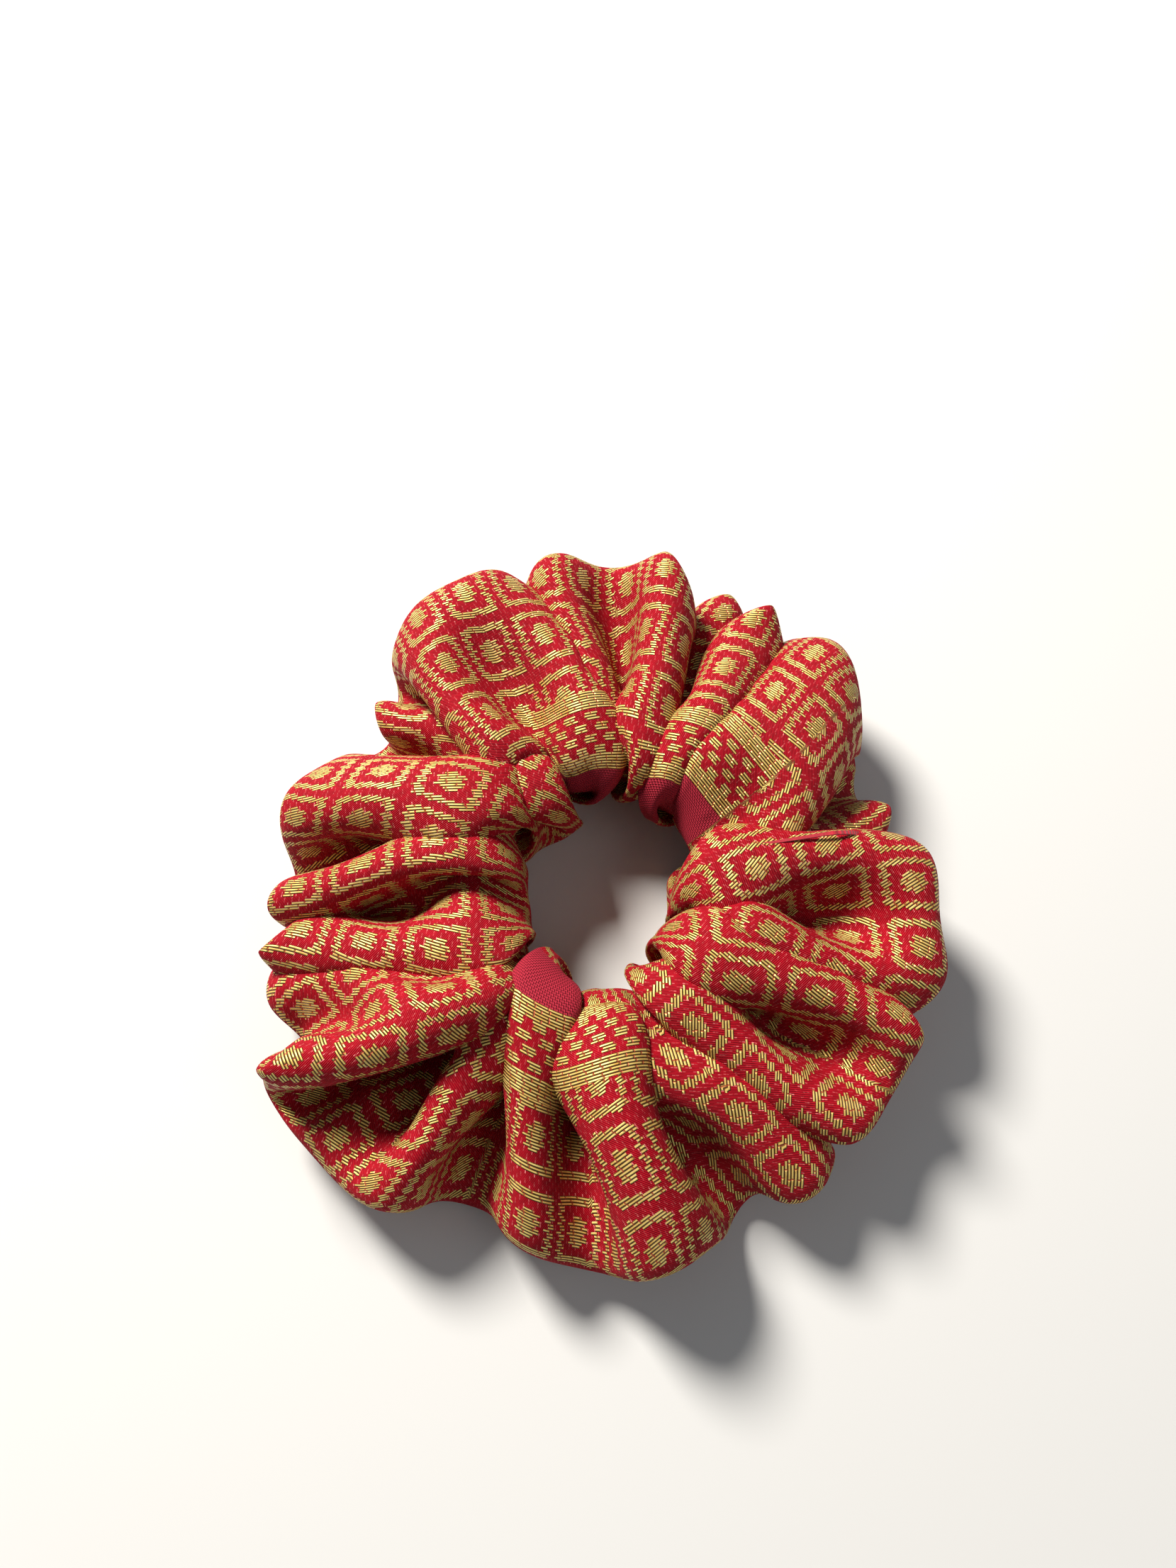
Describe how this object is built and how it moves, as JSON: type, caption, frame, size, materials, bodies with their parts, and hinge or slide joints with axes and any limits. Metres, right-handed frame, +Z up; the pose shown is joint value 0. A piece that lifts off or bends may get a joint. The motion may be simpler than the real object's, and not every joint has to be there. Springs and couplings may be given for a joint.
{
  "type": "scrunchie",
  "caption": "Soft hair tie: a tube of red and gold brocade cloth gathered in deep folds on a loop of flat elastic, lying flat as a puffed ring.",
  "frame": {"origin": "middle of the box round the whole ring, on the surface that it lies on", "axes": "+Z up out of that surface, through the hole; +X to the right and +Y away from a viewer who looks down at the ring with its closing seam on the right"},
  "size_m": [0.1108, 0.12, 0.03],
  "materials": {
    "cover_cloth": "jacquard brocade, matt crimson ground with metallic gold thread",
    "elastic": "woven flat elastic, off-white",
    "thread": "red polyester sewing thread"
  },
  "bodies": {
    "gather_01": {"gather_01": "cover_cloth", "elastic_band": "elastic", "elastic_lap_stitches": "thread", "long_seam_thread": "thread"},
    "gather_02": {"gather_02": "cover_cloth"},
    "gather_03": {"gather_03": "cover_cloth"},
    "gather_04": {"gather_04": "cover_cloth"},
    "gather_05": {"gather_05": "cover_cloth"},
    "gather_06": {"gather_06": "cover_cloth"},
    "gather_07": {"gather_07": "cover_cloth"},
    "gather_08": {"gather_08": "cover_cloth"},
    "gather_09": {"gather_09": "cover_cloth"},
    "gather_10": {"gather_10": "cover_cloth"},
    "gather_11": {"gather_11": "cover_cloth"},
    "gather_12": {"gather_12": "cover_cloth"},
    "gather_13": {"gather_13": "cover_cloth"},
    "gather_14": {"gather_14": "cover_cloth"},
    "cover_end_over": {"cover_end_over": "cover_cloth", "closing_seam_thread": "thread"},
    "cover_end_tucked": {"cover_end_tucked": "cover_cloth"}
  },
  "joints": [
    {"name": "stretch_02", "type": "slide", "parent": "gather_01", "child": "gather_02", "axis": [0.6626, 0.749, 0], "range_m": [0, 0.01203], "stiffness_N_per_m": 332.6, "deforming": ["elastic_band", "long_seam_thread"]},
    {"name": "stretch_03", "type": "slide", "parent": "gather_02", "child": "gather_03", "axis": [0.9681, 0.2504, 0], "range_m": [0, 0.01137], "stiffness_N_per_m": 352.1, "deforming": ["elastic_band", "long_seam_thread"]},
    {"name": "stretch_04", "type": "slide", "parent": "gather_03", "child": "gather_04", "axis": [0.9724, -0.2334, 0], "range_m": [0, 0.00798], "stiffness_N_per_m": 501.6, "deforming": ["elastic_band", "long_seam_thread"]},
    {"name": "stretch_05", "type": "slide", "parent": "gather_04", "child": "gather_05", "axis": [0.829, -0.5592, 0], "range_m": [0, 0.00626], "stiffness_N_per_m": 639.2, "deforming": ["elastic_band", "long_seam_thread"]},
    {"name": "stretch_06", "type": "slide", "parent": "gather_05", "child": "gather_06", "axis": [0.5771, -0.8166, 0], "range_m": [0, 0.00815], "stiffness_N_per_m": 491.1, "deforming": ["elastic_band", "long_seam_thread"]},
    {"name": "stretch_end_over", "type": "slide", "parent": "gather_06", "child": "cover_end_over", "axis": [0.284, -0.9588, 0], "range_m": [0, 0.00488], "stiffness_N_per_m": 820.6, "deforming": ["elastic_band", "long_seam_thread"]},
    {"name": "stretch_14", "type": "slide", "parent": "gather_01", "child": "gather_14", "axis": [-0.1693, -0.9856, 0], "range_m": [0, 0.00985], "stiffness_N_per_m": 406.3, "deforming": ["elastic_band", "long_seam_thread"]},
    {"name": "stretch_13", "type": "slide", "parent": "gather_14", "child": "gather_13", "axis": [0.2756, -0.9613, 0], "range_m": [0, 0.00798], "stiffness_N_per_m": 501.6, "deforming": ["elastic_band", "long_seam_thread"]},
    {"name": "stretch_12", "type": "slide", "parent": "gather_13", "child": "gather_12", "axis": [0.6361, -0.7716, 0], "range_m": [0, 0.00832], "stiffness_N_per_m": 481, "deforming": ["elastic_band", "long_seam_thread"]},
    {"name": "stretch_11", "type": "slide", "parent": "gather_12", "child": "gather_11", "axis": [0.8949, -0.4462, 0], "range_m": [0, 0.00832], "stiffness_N_per_m": 481, "deforming": ["elastic_band", "long_seam_thread"]},
    {"name": "stretch_10", "type": "slide", "parent": "gather_11", "child": "gather_10", "axis": [0.9988, -0.048, 0], "range_m": [0, 0.00815], "stiffness_N_per_m": 491.1, "deforming": ["elastic_band", "long_seam_thread"]},
    {"name": "stretch_09", "type": "slide", "parent": "gather_10", "child": "gather_09", "axis": [0.9524, 0.3049, 0], "range_m": [0, 0.00609], "stiffness_N_per_m": 657.4, "deforming": ["elastic_band", "long_seam_thread"]},
    {"name": "stretch_08", "type": "slide", "parent": "gather_09", "child": "gather_08", "axis": [0.788, 0.6157, 0], "range_m": [0, 0.00798], "stiffness_N_per_m": 501.6, "deforming": ["elastic_band", "long_seam_thread"]},
    {"name": "stretch_07", "type": "slide", "parent": "gather_08", "child": "gather_07", "axis": [0.4226, 0.9063, 0], "range_m": [0, 0.01069], "stiffness_N_per_m": 374.2, "deforming": ["elastic_band", "long_seam_thread"]},
    {"name": "stretch_end_tucked", "type": "slide", "parent": "gather_07", "child": "cover_end_tucked", "axis": [0.0262, 0.9997, 0], "range_m": [0, 0.00557], "stiffness_N_per_m": 718.5, "deforming": ["elastic_band", "long_seam_thread"]}
  ],
  "couplings": [
    {"joint": "stretch_03", "follows": "stretch_02", "ratio": 0.9445},
    {"joint": "stretch_04", "follows": "stretch_02", "ratio": 0.663},
    {"joint": "stretch_05", "follows": "stretch_02", "ratio": 0.52022},
    {"joint": "stretch_06", "follows": "stretch_02", "ratio": 0.67721},
    {"joint": "stretch_end_over", "follows": "stretch_02", "ratio": 0.40528},
    {"joint": "stretch_14", "follows": "stretch_02", "ratio": 0.81859},
    {"joint": "stretch_13", "follows": "stretch_02", "ratio": 0.663},
    {"joint": "stretch_12", "follows": "stretch_02", "ratio": 0.69141},
    {"joint": "stretch_11", "follows": "stretch_02", "ratio": 0.69141},
    {"joint": "stretch_10", "follows": "stretch_02", "ratio": 0.67721},
    {"joint": "stretch_09", "follows": "stretch_02", "ratio": 0.50589},
    {"joint": "stretch_08", "follows": "stretch_02", "ratio": 0.663},
    {"joint": "stretch_07", "follows": "stretch_02", "ratio": 0.8887},
    {"joint": "stretch_end_tucked", "follows": "stretch_02", "ratio": 0.46282}
  ]
}
